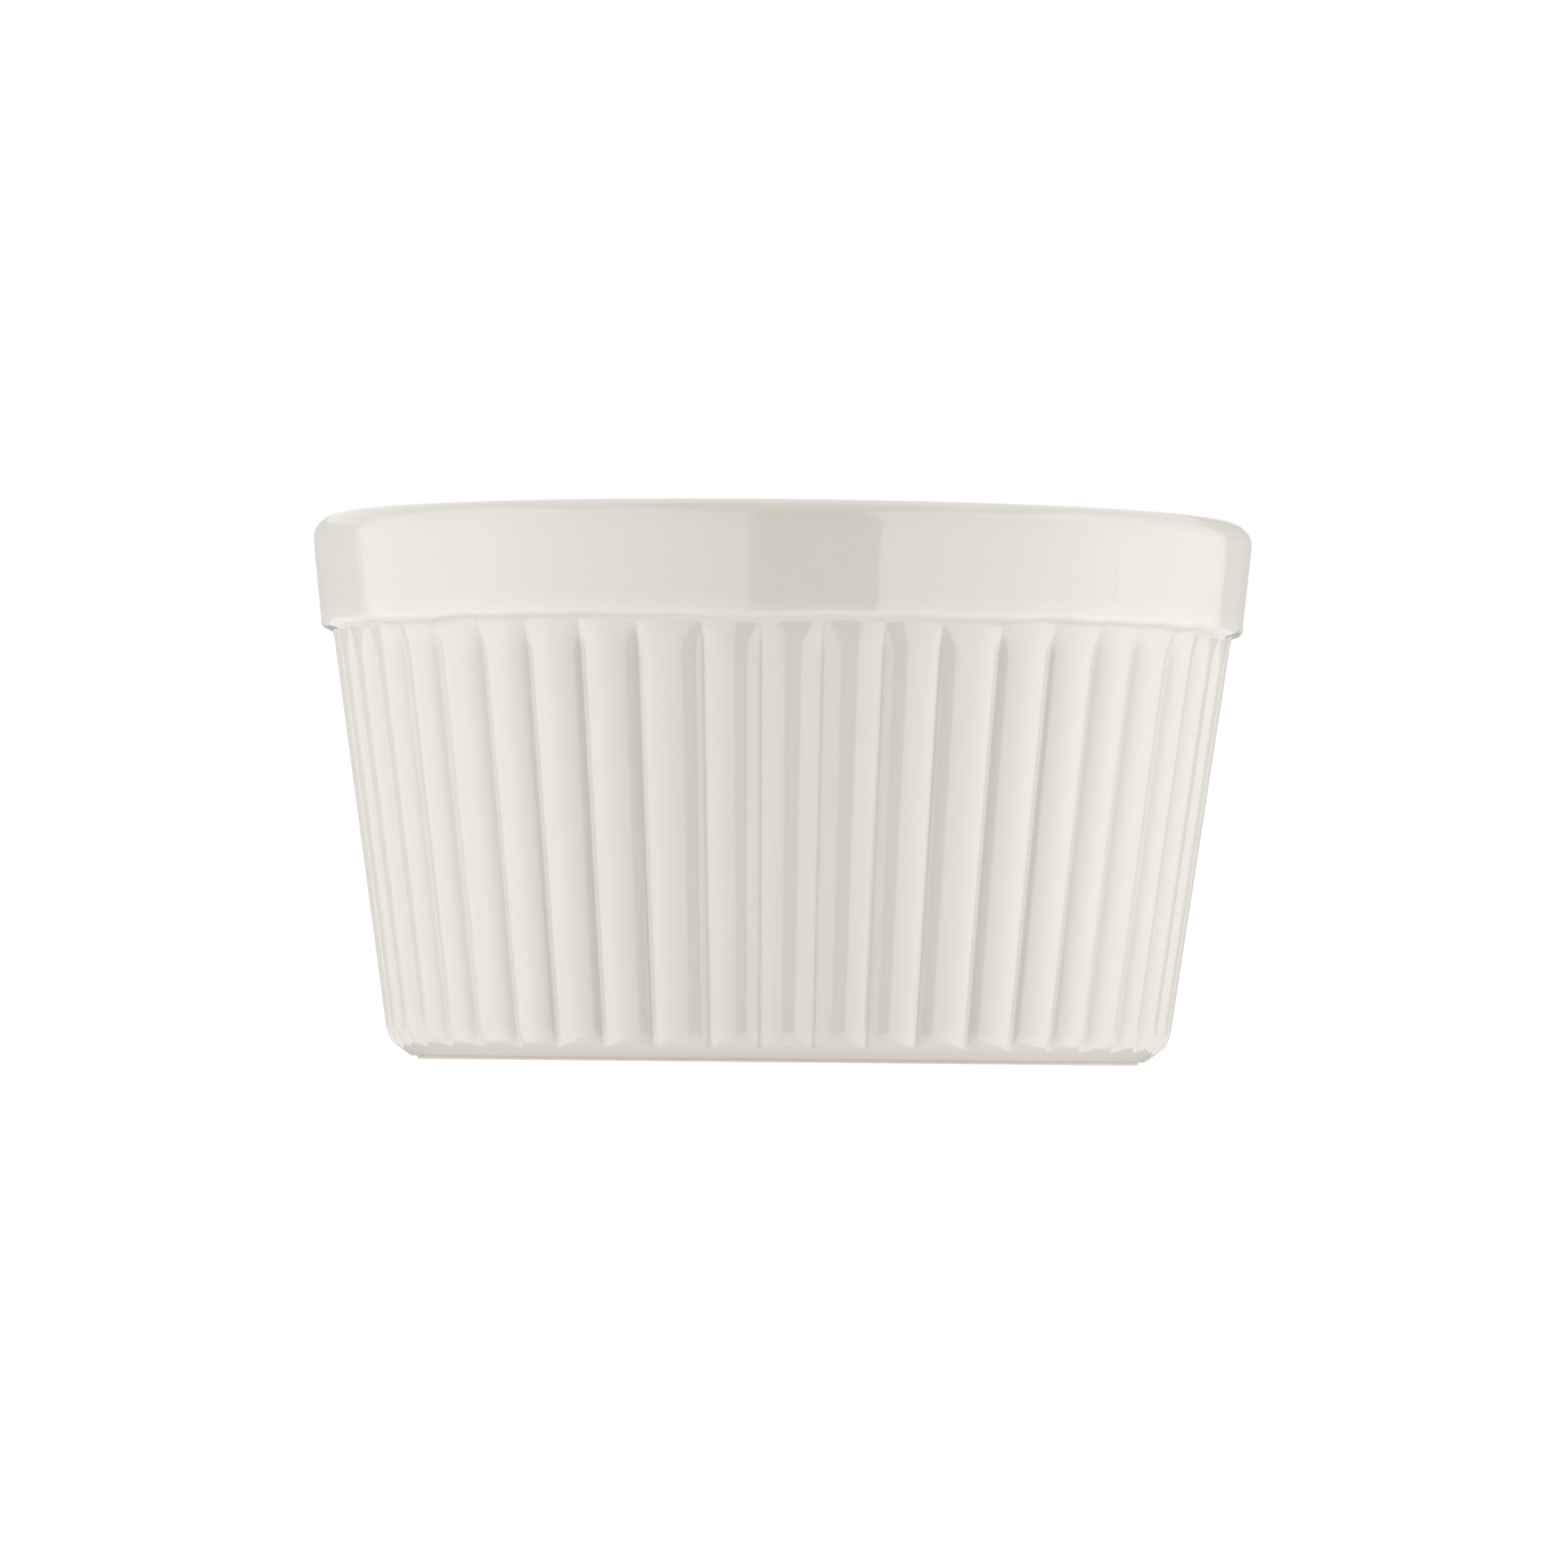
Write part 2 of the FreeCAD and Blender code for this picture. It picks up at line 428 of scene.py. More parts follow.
    def wall_heights(self) -> np.ndarray:
        """Heights of the rows up the outside, close together where the form turns.

        Returns:
            The heights, upwards.
        """
        bottom = self.band_bottom()
        stops = [
            (self.glaze_line, self.foot_rows),
            *self.base_runs,
            *((bottom + start, count) for start, count in self.band_runs),
        ]
        ends = [stop[0] for stop in stops[1:]] + [self.rim_path()[0, 1]]
        runs = [
            np.linspace(start, end, count, endpoint=False)
            for (start, count), end in zip(stops, ends)
        ]
        return np.concatenate(runs)

    def wall_radii(self, z: np.ndarray, theta: np.ndarray) -> np.ndarray:
        """Radius of the glazed outside, from its flutes, its cove and its undercut.

        It is the larger of flutes and cove, and on the lower half the smaller of that and the
        undercut, each softened where they cross.

        Args:
            z: heights, one for each row.
            theta: angles round the axis.

        Returns:
            Grid of radii.
        """
        cove = self.cove_path()
        sag = self.cove_drift * wave(theta, self.cove_waves, self.cove_seed)[None, :]
        cove_radius = np.interp(z[:, None] + sag, cove[:, 1], cove[:, 0])
        wall = soft_max(self.flutes(z, theta), cove_radius, self.glaze_soften)
        return np.where(
            z[:, None] < self.band_bottom() / 2,
            soft_min(wall, self.undercut(z)[:, None], self.crease_soften),
            wall,
        )

    def rim_path(self) -> np.ndarray:
        """Outline from the top of the band over the rim and down the well to its floor.

        Returns:
            Array of (radius, height) points.
        """
        corners = [
            (self.band_edge(), self.band_bottom(), 0.0),
            (self.rim_corner(), self.height, self.rim_outer_round),
            (self.well_radius(self.height), self.height, self.rim_inner_round),
            (self.well_radius(self.well_floor), self.well_floor, self.well_corner_round),
            (self.well_corner_round, self.well_floor, 0.0),
        ]
        return rounded_path(corners, self.rim_arc_steps)[1:]

    def rows(self, theta: np.ndarray) -> np.ndarray:
        """Whole glazed face, from the glaze line up the outside, over the rim and into the well.

        Args:
            theta: angles round the axis.

        Returns:
            Grid of points.
        """
        z = self.wall_heights()
        outside = round_rows(self.wall_radii(z, theta), z, theta)
        return np.concatenate([outside, turned_rows(self.rim_path(), theta)])


@dataclass(frozen=True)
class GreyCard:
    """Upright grey sheet between two angles about the ramekin, which only reflections and light meet.

    Azimuth 0 is the camera's side and grows to the camera's right, in degrees.
    """

    name: str
    left: float
    right: float
    shade: float
    distance: float = 0.5
    low: float = -0.3
    high: float = 1.8

    def corners(self) -> np.ndarray:
        """The sheet's four corners in order, seen from the ramekin.

        Returns:
            Array of four points.
        """
        turn = np.radians([self.right, self.left, self.left, self.right])
        level = np.array([self.low, self.low, self.high, self.high])
        return np.stack([self.distance * np.sin(turn), -self.distance * np.cos(turn), level], axis=1)


@dataclass(frozen=True)
class CeilingCard:
    """Level grey sheet above the ramekin, which only reflections and light meet."""

    name: str = "ceiling_card"
    shade: float = 0.3
    height: float = 1.0
    front: float = 0.75
    back: float = 0.2
    side: float = 0.35

    def corners(self) -> np.ndarray:
        """The sheet's four corners in order.

        Returns:
            Array of four points.
        """
        across = np.array([-self.side, self.side, self.side, -self.side])
        along = np.array([-self.front, -self.front, self.back, self.back])
        return np.stack([across, along, np.full(4, self.height)], axis=1)


@dataclass(frozen=True)
class PhotoCamera:
    """Camera at the photograph's place, level with the base and a little rolled.

    The two pixel values are where the base's centre lies in the photograph's frame, with its roll undone.
    """

    distance: float = 1.128
    above_table: float = 0.0
    roll: float = math.radians(0.56)
    pixels_per_metre: float = 12856.0
    picture_side: int = 1932
    axis_column: float = 961.6
    base_row: float = 1309.0
    sensor: float = 36.0

    def build(self) -> bpy.types.Object:
        """Make the camera and set it as the scene's.

        Returns:
            The camera's object.
        """
        reach = self.pixels_per_metre * self.distance
        centre = self.picture_side / 2
        yaw = math.atan((centre - self.axis_column) / reach)
        pitch = math.atan((self.base_row - centre) / reach) - math.atan(self.above_table / self.distance)
        ahead = Vector(
            (math.sin(yaw) * math.cos(pitch), math.cos(yaw) * math.cos(pitch), math.sin(pitch))
        )
        level = Vector((math.cos(yaw), -math.sin(yaw), 0))
        upward = level.cross(ahead)
        right = level * math.cos(self.roll) + upward * math.sin(self.roll)
        up = upward * math.cos(self.roll) - level * math.sin(self.roll)
        lens = bpy.data.cameras.new("photo_camera")
        lens.sensor_width = self.sensor
        lens.lens = self.sensor * reach / self.picture_side
        camera = bpy.data.objects.new("photo_camera", lens)
        turn = Matrix((right, up, -ahead)).transposed().to_4x4()
        camera.matrix_world = Matrix.Translation((0, -self.distance, self.above_table)) @ turn
        bpy.context.scene.collection.objects.link(camera)
        bpy.context.scene.camera = camera
        return camera


class Nodes:
    """Short hand for laying out one node tree."""

    def __init__(self, tree: bpy.types.NodeTree) -> None:
        """Keep the tree that the nodes go into."""
        self.tree = tree

    def add(self, kind: str, settings: dict | None = None, **sockets: object) -> bpy.types.Node:
        """Add a node, set its properties and set or link its inputs.

        Args:
            kind: type name of the node.
            settings: properties of the node itself.
            sockets: inputs by name, spaces written as underscores: a value, or a socket to link.

        Returns:
            The new node.
        """
        node = self.tree.nodes.new(kind)
        for key, value in (settings or {}).items():
            setattr(node, key, value)
        for key, value in sockets.items():
            self.put(node.inputs[key.replace("_", " ")], value)
        return node

    def put(self, socket: bpy.types.NodeSocket, value: object) -> None:
        """Link a socket to an input, or set the input's own value.

        Args:
            socket: the input.
            value: a value, or a socket to link.
        """
        if isinstance(value, bpy.types.NodeSocket):
            self.tree.links.new(value, socket)
        else:
            socket.default_value = value

    def math(self, operation: str, first: object, second: object = 0.0) -> bpy.types.NodeSocket:
        """Sum, product or other operation on two values.

        Args:
            operation: name of the operation.
            first: a value, or a socket to link.
            second: a value, or a socket to link.

        Returns:
            The result's socket.
        """
        node = self.add("ShaderNodeMath", {"operation": operation})
        self.put(node.inputs[0], first)
        self.put(node.inputs[1], second)
        return node.outputs[0]

    def mix(self, factor: object, first: object, second: object) -> bpy.types.NodeSocket:
        """Colour between two colours by a factor.

        Args:
            factor: share of the second colour.
            first: a colour, or a socket to link.
            second: a colour, or a socket to link.

        Returns:
            The result's socket.
        """
        node = self.add("ShaderNodeMix", {"data_type": "RGBA"})
        self.put(node.inputs[0], factor)
        self.put(node.inputs[MIX_FIRST], first)
        self.put(node.inputs[MIX_SECOND], second)
        return node.outputs[MIX_RESULT]


def new_material(name: str) -> tuple[bpy.types.Material, Nodes]:
    """Empty node material and the hand that lays out its nodes.

    Args:
        name: name of the material.

    Returns:
        The material and the hand.
    """
    material = bpy.data.materials.new(name)
    material.use_nodes = True
    material.node_tree.nodes.clear()
    return material, Nodes(material.node_tree)


@dataclass(frozen=True)
class Mottle:
    """One uneven pattern of the ceramic: its output, its size's input, and its size and detail."""

    output: str
    size_name: str
    size: float
    detail: float


MOTTLES = (
    Mottle("Clouds", "Cloud size", 60.0, 3.0),
    Mottle("Grain", "Grain size", 900.0, 2.0),
    Mottle("Swell", "Swell size", 160.0, 0.0),
)


def mottle_group() -> bpy.types.NodeTree:
    """Node group of uneven ceramic: soft clouds, fine grain and a slow swell on Object coordinates.

    Returns:
        The group, with outputs Clouds, Grain and Swell, each about 0 to 1.
    """
    tree = bpy.data.node_groups.new("ceramic_mottle", "ShaderNodeTree")
    number = "NodeSocketFloat"
    for pattern in MOTTLES:
        socket = tree.interface.new_socket(pattern.size_name, in_out="INPUT", socket_type=number)
        socket.default_value = pattern.size
    for pattern in MOTTLES:
        tree.interface.new_socket(pattern.output, in_out="OUTPUT", socket_type=number)
    hand = Nodes(tree)
    given = hand.add("NodeGroupInput").outputs
    result = hand.add("NodeGroupOutput")
    place = hand.add("ShaderNodeTexCoord").outputs["Object"]
    for pattern in MOTTLES:
        size = given[pattern.size_name]
        noise = hand.add("ShaderNodeTexNoise", Vector=place, Scale=size, Detail=pattern.detail)
        hand.put(result.inputs[pattern.output], noise.outputs[0])
    return tree


@dataclass(frozen=True)
class GlazeFinish:
    """Glossy ivory glaze, paler where it thins over edges, as thinner glaze and a painted highlight, and
    deeper in the valleys, as pooling glaze and painted shade.
    """

    name: str = "ivory_glaze"
    # Pale colour of thinning glaze, also a painted highlight over the rim and the band's lower edge.
    thin_and_highlit: Colour = tone(221, 216, 206)
    plain: Colour = tone(213, 207, 195)
    # Deep colour of pooling glaze, darkened further as painted shade in the valley roots.
    pooled_and_shaded: Colour = tone(180, 169, 150)
    cloud_strength: float = 0.06
    gloss_low: float = 0.05
    gloss_high: float = 0.1
    swell_height: float = 0.02 * MM
    refraction: float = 1.6
    # Attribute of glaze depth, which also carries the painted highlight and the painted shade.
    depth_and_light_name: str = "glaze_depth_with_painted_light"

    def material(self, mottle: bpy.types.NodeTree) -> bpy.types.Material:
        """Lay out the glaze's material.

        The lower half of the glaze's depth runs from the pale colour of thinning glaze and painted
        highlight to the plain one, and the upper half from the plain colour to the deep colour of pooling
        glaze and painted shade.

        Args:
            mottle: node group of uneven ceramic.

        Returns:
            The material.
        """
        material, hand = new_material(self.name)
        uneven = hand.add("ShaderNodeGroup", {"node_tree": mottle}).outputs
        depth = hand.add("ShaderNodeAttribute", {"attribute_name": self.depth_and_light_name}).outputs["Fac"]
        centred = hand.math("SUBTRACT", uneven["Clouds"], 0.5)
        clouds = hand.math("MULTIPLY", centred, 2 * self.cloud_strength)
        level = hand.math("ADD", depth, clouds)
        thin_highlit_mix = hand.math("MULTIPLY", level, 2.0)
        pooled_shaded_mix = hand.math("SUBTRACT", thin_highlit_mix, 1.0)
        for node in (thin_highlit_mix.node, pooled_shaded_mix.node):
            node.use_clamp = True
        colour = hand.mix(pooled_shaded_mix, hand.mix(thin_highlit_mix, self.thin_and_highlit, self.plain), self.pooled_and_shaded)
        gloss = hand.add(
            "ShaderNodeMapRange", Value=uneven["Clouds"], To_Min=self.gloss_low, To_Max=self.gloss_high
        )
        bump = hand.add("ShaderNodeBump", Height=uneven["Swell"], Distance=self.swell_height)
        shader = hand.add(
            "ShaderNodeBsdfPrincipled",
            Base_Color=colour,
            Roughness=gloss.outputs[0],
            Normal=bump.outputs[0],
            IOR=self.refraction,
        )
        hand.add("ShaderNodeOutputMaterial", Surface=shader.outputs[0])
        return material


@dataclass(frozen=True)
class ClayFinish:
    """Bare fired clay: matt, warm and faintly specked."""

    name: str = "fired_clay"
    plain: Colour = tone(237, 230, 219)
    specked: Colour = tone(222, 212, 199)
    roughness: float = 0.8
    grain_height: float = 0.04 * MM

    def material(self, mottle: bpy.types.NodeTree) -> bpy.types.Material:
        """Lay out the clay's material.

        Args:
            mottle: node group of uneven ceramic.

        Returns:
            The material.
        """
        material, hand = new_material(self.name)
        uneven = hand.add("ShaderNodeGroup", {"node_tree": mottle}).outputs
        colour = hand.mix(uneven["Grain"], self.plain, self.specked)
        bump = hand.add("ShaderNodeBump", Height=uneven["Grain"], Distance=self.grain_height)
        shader = hand.add(
            "ShaderNodeBsdfPrincipled", Base_Color=colour, Roughness=self.roughness, Normal=bump.outputs[0]
        )
        hand.add("ShaderNodeOutputMaterial", Surface=shader.outputs[0])
        return material


@dataclass
class GlazeCoat:
    """The glaze over the outside, the rim and the well: one closed skin with a rolled lip at the foot."""

    form: VesselForm
    thickness: float = 0.25 * MM
    pooling: float = 0.15 * MM
    lip_drop: float = 0.08 * MM
    inner_step: int = 8
    pool_shade_gain: float = 0.5
    pool_shade_power: int = 5
    rim_reach: float = 1.2 * MM
    edge_lift: float = 0.35 * MM
    edge_reach: float = 0.3 * MM
    # How far the depth falls over edges, for thinning glaze and a painted highlight.
    edge_highlight_drop: float = 0.35

    def theta(self) -> np.ndarray:
        """Angles round the axis that every row shares."""
        return self.form.angles()

    def hollowness(self, rows: np.ndarray) -> np.ndarray:
        """How far each point lies in from the crests, as a share of the grooved valleys' full depth.

        Args:
            rows: grid of points on the fluted wall.

        Returns:
            Grid of shares, 0 on the crests and 1 at the roots of the valleys.
        """
        radius = np.hypot(rows[..., 0], rows[..., 1])
        z = rows[..., 2]
        full = self.form.depth(z) * (1 + self.form.groove_share)
        return np.clip((self.form.crest(z) - radius) / full, 0, 1)

    def clay_rows(self, rows: np.ndarray) -> np.ndarray:
        """The clay's face: the glazed face moved in along its normals by the glaze's thickness.

        Args:
            rows: grid of the glazed face.

        Returns:
            Grid of the clay's face.
        """
        wall_count = len(self.form.wall_heights())
        deep = np.zeros(rows.shape[:2])
        deep[:wall_count] = self.hollowness(rows[:wall_count])
        normals = grid_normals(rows)
        return rows - normals * (self.thickness + self.pooling * deep)[..., None]

    def depth(self, rows: np.ndarray) -> np.ndarray:
        """Glaze depth for the finish, with painted light in it: 0 where it thins under a painted highlight,
        1 where it pools under painted shade.

        It rises by a power of the hollowness in the valleys, as pooling glaze and painted shade. It falls
        along a bell curve of the height over the rim, and along another over the band's lower edge, as
        thinning glaze and painted highlights.

        Args:
            rows: grid of the glazed face.

        Returns:
            Grid of depths.
        """
        form = self.form
        wall_count = len(form.wall_heights())
        z = rows[..., 2]
        value = np.full(rows.shape[:2], PLAIN_DEPTH)
        # Painted shade in the valley roots, along with the glaze that pools there.
        pooled_and_shaded = self.pool_shade_gain * self.hollowness(rows[:wall_count]) ** self.pool_shade_power
        in_wall = z[:wall_count] < form.band_bottom()
        above_base = z[:wall_count] > form.undercut_height
        value[:wall_count] += np.where(in_wall & above_base, pooled_and_shaded, 0)
        # Painted highlights over the rim and the band's lower edge, along with the glaze that thins there.
        rim = np.exp(-(((z - form.height) / self.rim_reach) ** 2))
        edge = np.exp(-(((z - form.band_bottom() - self.edge_lift) / self.edge_reach) ** 2))
        edge[wall_count:] = 0
        return np.clip(value - self.edge_highlight_drop * rim - self.edge_highlight_drop * edge, 0, 1)

    def build(self, mottle: bpy.types.NodeTree, finish: GlazeFinish) -> bpy.types.Object:
        """Make the skin: the clay's side outwards from the well, a rolled lip, then the glazed face.

        Args:
            mottle: node group of uneven ceramic.
            finish: the glaze's finish.

        Returns:
            The new piece.
        """
        theta = self.theta()
        face = self.form.rows(theta)
        back = self.clay_rows(face)
        kept = np.unique(np.append(np.arange(0, len(face), self.inner_step), len(face) - 1))
        inner = back[kept][::-1]
        foot = back[0].copy()
        lip = np.stack([foot, (foot + face[0]) / 2])
        lip[..., 2] = self.form.glaze_line - np.array([[0.0], [self.lip_drop]])
        rows = np.concatenate([inner, lip, face])
        floor = self.form.well_floor
        piece = lattice_piece("glaze_skin", rows, (floor - self.thickness, floor))
        depth = np.full(rows.shape[:2], PLAIN_DEPTH)
        depth[-len(face):] = self.depth(face)
        point_values(piece, finish.depth_and_light_name, depth, (PLAIN_DEPTH, PLAIN_DEPTH))
        piece.data.materials.append(finish.material(mottle))
        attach(piece, BODY)
        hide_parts("glaze_coat")
        return piece


@dataclass
class ClayBody:
    """The fired clay behind the glaze, with its bare foot ring and recessed base."""

    coat: GlazeCoat
    foot_height: float = 0.3 * MM
    foot_radius: float = 34.51 * MM
    foot_ring_width: float = 3.4 * MM
    foot_edge_round: float = 0.2 * MM
    recess_depth: float = 1.3 * MM
    recess_slope: float = math.radians(45.0)
    row_step: int = 2
    arc_steps: int = 5

    def foot_path(self) -> np.ndarray:
        """Outline of the underside, from the recess's ceiling over the foot ring and up its side.

        Returns:
            Array of (radius, height) points.
        """
        inner = self.foot_radius - self.foot_ring_width
        ceiling = inner - self.recess_depth / math.tan(self.recess_slope)
        corners = [
            (ceiling / 2, self.recess_depth, 0.0),
            (ceiling, self.recess_depth, self.foot_edge_round),
            (inner, 0.0, self.foot_edge_round),
            (self.foot_radius, 0.0, self.foot_edge_round),
            (self.foot_radius, self.foot_height, 0.0),
        ]
        return rounded_path(corners, self.arc_steps)

    def build(self, mottle: bpy.types.NodeTree, finish: ClayFinish) -> bpy.types.Object:
        """Make the body: its underside, then its face up the outside, over the rim and into the well.

        Args:
            mottle: node group of uneven ceramic.
            finish: the clay's finish.

        Returns:
            The new piece.
        """
        theta = self.coat.theta()
        face = self.coat.clay_rows(self.coat.form.rows(theta))
        kept = np.unique(np.append(np.arange(0, len(face), self.row_step), len(face) - 1))
        rows = np.concatenate([turned_rows(self.foot_path(), theta), face[kept]])
        floor = self.coat.form.well_floor - self.coat.thickness
        piece = lattice_piece("clay_body", rows, (self.recess_depth, floor))
        piece.data.materials.append(finish.material(mottle))
        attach(piece, BODY)
        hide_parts("ceramic_body")
        return piece


@dataclass
class BaseGlaze:
    """The glaze on the recess inside the foot ring: a slim closed disc with a turned-down edge."""

    clay: ClayBody
    glaze_line: float
    thickness: float = 0.25 * MM
    corner_round: float = 0.4 * MM
    arc_steps: int = 5
    angle_step: int = 4

    def build(self, finish: GlazeFinish, material: bpy.types.Material) -> bpy.types.Object:
        """Make the disc: its face outwards from the axis, its edge, then the side against the clay.

        Args:
            finish: the glaze's finish.
            material: the glaze's material.

        Returns:
            The new piece.
        """
        slope = self.clay.recess_slope
        ceiling = self.clay.recess_depth
        inner = self.clay.foot_radius - self.clay.foot_ring_width
        reach = inner - ceiling / math.tan(slope)
        edge = inner - self.glaze_line / math.tan(slope)
        shift = self.thickness / math.sin(slope)
        face_reach = reach - shift + self.thickness / math.tan(slope)
        corners = [
            (reach / 2, ceiling - self.thickness, 0.0),
            (face_reach, ceiling - self.thickness, self.corner_round),
            (edge - shift, self.glaze_line, 0.0),
            (edge, self.glaze_line, 0.0),
            (reach, ceiling, 0.0),
            (reach / 2, ceiling, 0.0),
        ]
        theta = self.clay.coat.theta()[:: self.angle_step]
        rows = turned_rows(rounded_path(corners, self.arc_steps), theta)
        piece = lattice_piece("base_glaze_disc", rows, (ceiling - self.thickness, ceiling))
        depth = np.full(rows.shape[:2], PLAIN_DEPTH)
        point_values(piece, finish.depth_and_light_name, depth, (PLAIN_DEPTH, PLAIN_DEPTH))
        piece.data.materials.append(material)
        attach(piece, BODY)
        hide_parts("base_glaze")
        return piece


@dataclass(frozen=True)
class Softbox:
    """Upright flat studio lamp that faces the ramekin and grows brighter across its width.

    Azimuth 0 is the camera's side and grows to the camera's right, in degrees. Radiance 1 is plain white.
    """

    name: str
    azimuth: float
    width: float
    radiance: tuple[float, float]
    distance: float = 0.6
    low: float = -0.6
    high: float = 0.86
    tint: tuple[float, float, float] = (0.92, 1.0, 1.14)

    def build(self) -> bpy.types.Object:
        """Make the lamp, with a power at which its emission strength is its radiance.

        The radiance runs evenly from the edge of lower azimuth to the edge of higher azimuth.

        Returns:
            The lamp's object.
        """
        lamp = bpy.data.lights.new(self.name, "AREA")
        lamp.shape = "RECTANGLE"
        lamp.size = self.width
        lamp.size_y = self.high - self.low
        lamp.energy = math.pi * self.width * (self.high - self.low)
        lamp.color = self.tint
        self.spread(lamp)
        holder = bpy.data.objects.new(self.name, lamp)
        turn = math.radians(self.azimuth)
        away = Vector((math.sin(turn), -math.cos(turn), 0))
        facing = (-away).to_track_quat("-Z", "Y").to_matrix().to_4x4()
        middle = away * self.distance + Vector((0, 0, (self.low + self.high) / 2))
        holder.matrix_world = Matrix.Translation(middle) @ facing
        holder.visible_camera = False
        bpy.context.scene.collection.objects.link(holder)
        return holder

    def spread(self, lamp: bpy.types.AreaLight) -> None:
        """Lay out the even change of strength across the lamp's width.

        Args:
            lamp: the lamp's light.
        """
        lamp.use_nodes = True
        lamp.node_tree.nodes.clear()
        hand = Nodes(lamp.node_tree)
        place = hand.add("ShaderNodeNewGeometry").outputs["Parametric"]
        across = hand.add("ShaderNodeSeparateXYZ", Vector=place).outputs["X"]
        first, last = self.radiance
        strength = hand.add("ShaderNodeMapRange", Value=across, To_Min=first, To_Max=last).outputs[0]
        shade = hand.add("ShaderNodeEmission", Strength=strength).outputs[0]
        hand.add("ShaderNodeOutputLight", Surface=shade)


@dataclass(frozen=True)
class OverheadLamp:
    """Level square studio lamp above the ramekin, unseen in reflections. Radiance 1 is plain white."""

    name: str = "overhead_softbox"
    height: float = 0.9
    side: float = 0.9
    radiance: float = 1.15

    def build(self) -> bpy.types.Object:
        """Make the lamp, with the power that gives its radiance over its area.

        Returns:
            The lamp's object.
        """
        lamp = bpy.data.lights.new(self.name, "AREA")
        lamp.size = self.side
        lamp.energy = self.radiance * math.pi * self.side**2
        holder = bpy.data.objects.new(self.name, lamp)
        holder.matrix_world = Matrix.Translation((0, 0, self.height))
        holder.visible_camera = False
        holder.visible_glossy = False
        bpy.context.scene.collection.objects.link(holder)
        return holder


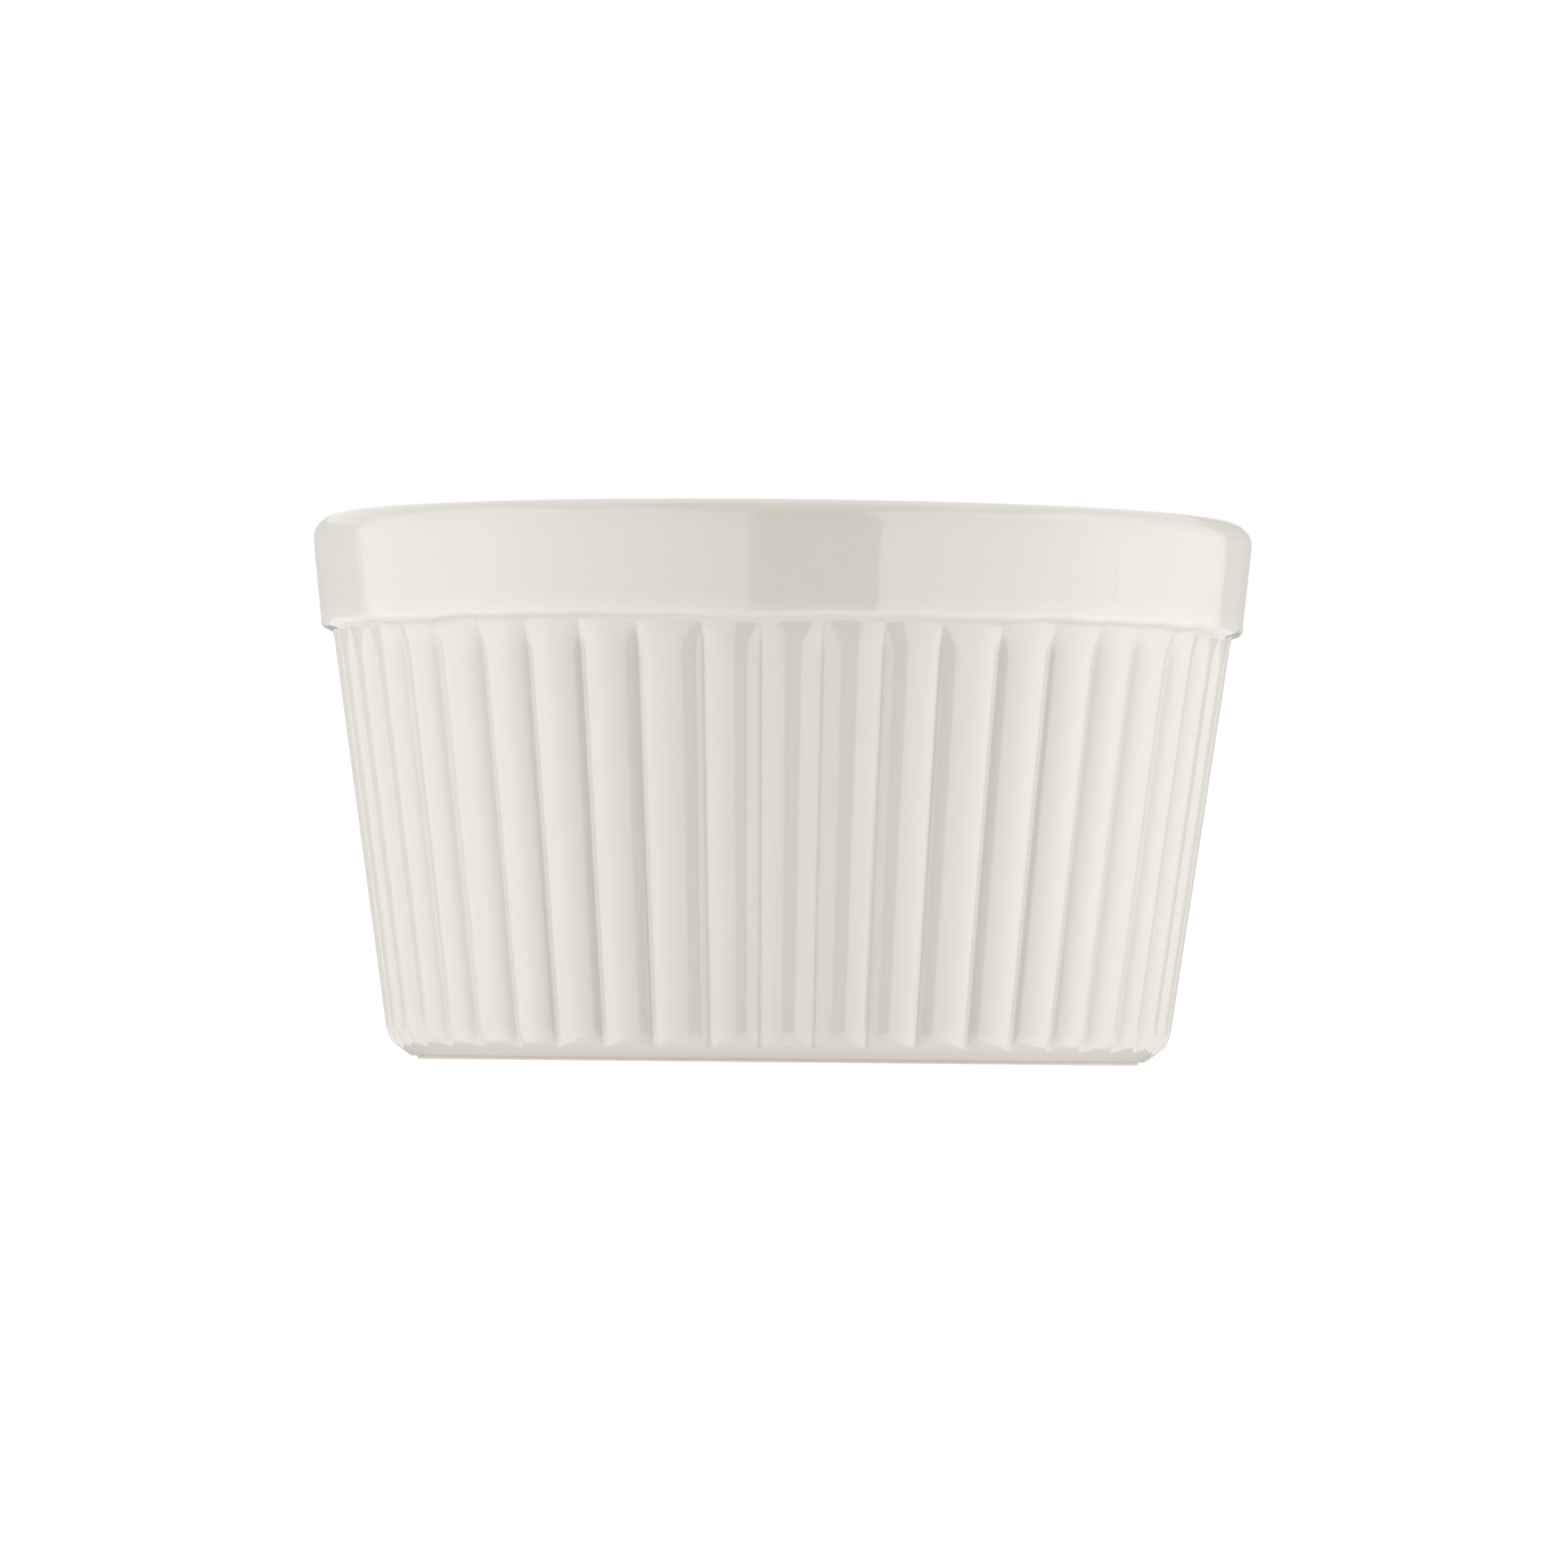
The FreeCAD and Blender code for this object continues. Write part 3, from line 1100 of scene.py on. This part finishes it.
@dataclass
class Studio:
    """Pale floor, white surround, soft lamps at both sides and above, and grey cards between them."""

    floor_radius: float = 4.0
    floor_points: int = 64
    floor_tone: float = 0.8
    floor_glow: float = 0.45
    floor_light: float = 0.5
    floor_tint: Colour = (0.99, 1.0, 1.05, 1.0)
    shadow_near: float = 0.12
    shadow_far: float = 0.45
    mirrored_reach: float = 0.0368
    contact_shade: float = 0.5
    surround_light: float = 0.32
    surround_tint: Colour = (1.13, 1.0, 0.79, 1.0)
    lamps: tuple[Softbox | OverheadLamp, ...] = (
        Softbox("left_front_softbox", -40.5, 0.735, (1.41, 0.05)),
        Softbox("left_side_softbox", -97.5, 0.572, (0.5, 1.45)),
        Softbox("right_front_softbox", 55.5, 0.76, (0.5, 1.5)),
        Softbox("right_side_softbox", 111.0, 0.509, (1.54, 0.15)),
        OverheadLamp(),
    )
    cards: tuple[GreyCard | CeilingCard, ...] = (
        CeilingCard(),
        GreyCard("front_card", -7.2, 22.9, 0.08),
        GreyCard("back_card", 166.0, 194.0, 0.3, low=-0.04, high=0.05),
        GreyCard("back_left_card", -166.0, -124.0, 0.65, low=-0.04, high=0.15),
        GreyCard("back_right_card", 135.0, 166.0, 0.6, low=-0.04, high=0.28),
    )

    def sheet(self, name: str, points: np.ndarray, material: bpy.types.Material) -> bpy.types.Object:
        """Flat one-sided sheet of the studio, which isn't part of the ramekin.

        Args:
            name: name of the sheet.
            points: its corners in order.
            material: its material.

        Returns:
            The sheet's object.
        """
        mesh = bpy.data.meshes.new(name)
        mesh.from_pydata(points.tolist(), [], [list(range(len(points)))])
        mesh.materials.append(material)
        sheet = bpy.data.objects.new(name, mesh)
        bpy.context.scene.collection.objects.link(sheet)
        return sheet

    def floor(self) -> bpy.types.Object:
        """Round floor, a pale sheet near the ramekin and plain white to the camera further out.

        Returns:
            The floor's object.
        """
        around = np.linspace(0, 2 * math.pi, self.floor_points, endpoint=False)
        points = np.stack([np.cos(around), np.sin(around), np.zeros_like(around)], axis=1)
        return self.sheet("studio_floor", points * self.floor_radius, self.floor_material())

    def hang(self, card: GreyCard | CeilingCard) -> bpy.types.Object:
        """Hang one grey card, of an even shade and unseen by the camera.

        Args:
            card: the card's place and shade.

        Returns:
            The card's object.
        """
        material, hand = new_material(card.name)
        shade = hand.add("ShaderNodeEmission", Strength=card.shade)
        hand.add("ShaderNodeOutputMaterial", Surface=shade.outputs[0])
        sheet = self.sheet(card.name, card.corners(), material)
        sheet.visible_camera = False
        return sheet

    def floor_material(self) -> bpy.types.Material:
        """Pale matt sheet that glows as painted bounce light on the ramekin, white to the camera further
        out.

        Reflections show it only close to the ramekin, as a dim grey of painted contact shadow, and it is
        clear from below.

        Returns:
            The material.
        """
        material, hand = new_material("pale_floor")
        pale = (self.floor_tone, self.floor_tone, self.floor_tone, 1.0)
        matt = hand.add("ShaderNodeBsdfDiffuse", Color=pale).outputs[0]
        glow = hand.add("ShaderNodeEmission", Strength=self.floor_glow).outputs[0]
        # Glow that lights the ramekin from below: painted bounce light.
        light = hand.add("ShaderNodeEmission", Color=self.floor_tint, Strength=self.floor_light).outputs[0]
        white = hand.add("ShaderNodeEmission", Strength=1.0).outputs[0]
        # Painted contact shadow, which reflections show close to the ramekin.
        contact = hand.add("ShaderNodeEmission", Strength=self.contact_shade).outputs[0]
        clear = hand.add("ShaderNodeBsdfTransparent").outputs[0]
        shown = self.sum(hand, matt, glow)
        given = self.sum(hand, matt, light)
        place = hand.add("ShaderNodeTexCoord").outputs["Object"]
        reach = hand.add("ShaderNodeVectorMath", {"operation": "LENGTH"}, Vector=place).outputs["Value"]
        fade = hand.add(
            "ShaderNodeMapRange",
            {"interpolation_type": "SMOOTHSTEP"},
            Value=reach,
            From_Min=self.shadow_near,
            From_Max=self.shadow_far,
        ).outputs[0]
        path = hand.add("ShaderNodeLightPath").outputs
        beyond = hand.math("GREATER_THAN", reach, self.mirrored_reach)
        mirrored = self.blend(hand, beyond, contact, clear)
        seen = self.blend(hand, fade, shown, white)
        lit = self.blend(hand, path["Is Camera Ray"], given, seen)
        whole = self.blend(hand, path["Is Glossy Ray"], lit, mirrored)
        from_below = hand.add("ShaderNodeNewGeometry").outputs["Backfacing"]
        hand.add("ShaderNodeOutputMaterial", Surface=self.blend(hand, from_below, whole, clear))
        return material

    def sum(self, hand: Nodes, first: object, second: object) -> bpy.types.NodeSocket:
        """Shader that adds two shaders.

        Args:
            hand: hand that lays out the nodes.
            first: a shader's socket.
            second: a shader's socket.

        Returns:
            The result's socket.
        """
        node = hand.add("ShaderNodeAddShader")
        hand.put(node.inputs[0], first)
        hand.put(node.inputs[1], second)
        return node.outputs[0]

    def blend(self, hand: Nodes, factor: object, first: object, second: object) -> bpy.types.NodeSocket:
        """Shader between two shaders by a factor.

        Args:
            hand: hand that lays out the nodes.
            factor: share of the second shader.
            first: a shader's socket.
            second: a shader's socket.

        Returns:
            The result's socket.
        """
        node = hand.add("ShaderNodeMixShader", Fac=factor)
        hand.put(node.inputs[1], first)
        hand.put(node.inputs[2], second)
        return node.outputs[0]

    def surround(self) -> bpy.types.World:
        """White surround to the camera and in reflections, and a plain fill light on matt surfaces.

        Returns:
            The surround.
        """
        world = bpy.data.worlds.new("white_surround")
        world.use_nodes = True
        world.node_tree.nodes.clear()
        hand = Nodes(world.node_tree)
        path = hand.add("ShaderNodeLightPath").outputs
        seen = hand.math("MAXIMUM", path["Is Camera Ray"], path["Is Glossy Ray"])
        seen = hand.math("MAXIMUM", seen, path["Is Transmission Ray"])
        white = (1.0, 1.0, 1.0, 1.0)
        fill = hand.add(
            "ShaderNodeBackground", Color=self.surround_tint, Strength=self.surround_light
        ).outputs[0]
        plain = hand.add("ShaderNodeBackground", Color=white, Strength=1.0).outputs[0]
        hand.add("ShaderNodeOutputWorld", Surface=self.blend(hand, seen, fill, plain))
        bpy.context.scene.world = world
        return world

    def build(self) -> None:
        """Make the floor, the cards, the surround and the lamps, and set the plain view transform."""
        self.floor()
        self.surround()
        for card in self.cards:
            self.hang(card)
        for lamp in self.lamps:
            lamp.build()
        bpy.context.scene.view_settings.view_transform = "Standard"


def frame_form() -> VesselForm:
    """Form with its rim radius and height read from the frame's glaze node."""
    low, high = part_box("glaze_coat")
    return VesselForm(rim_radius=(high.x - low.x) / 2, height=high.z)


def main() -> None:
    """Build the camera, the studio and the pieces in order, and report each piece."""
    logging.basicConfig(level=logging.INFO)
    form = frame_form()
    PhotoCamera().build()
    Studio().build()
    mottle = mottle_group()
    glaze = GlazeFinish()
    coat = GlazeCoat(form)
    clay = ClayBody(coat)
    skin = coat.build(mottle, glaze)
    body = clay.build(mottle, ClayFinish())
    disc = BaseGlaze(clay, form.glaze_line).build(glaze, skin.data.materials[0])
    for piece in (skin, body, disc):
        log.info("%s: %d faces", piece.name, len(piece.data.polygons))


if __name__ == "__main__":
    main()
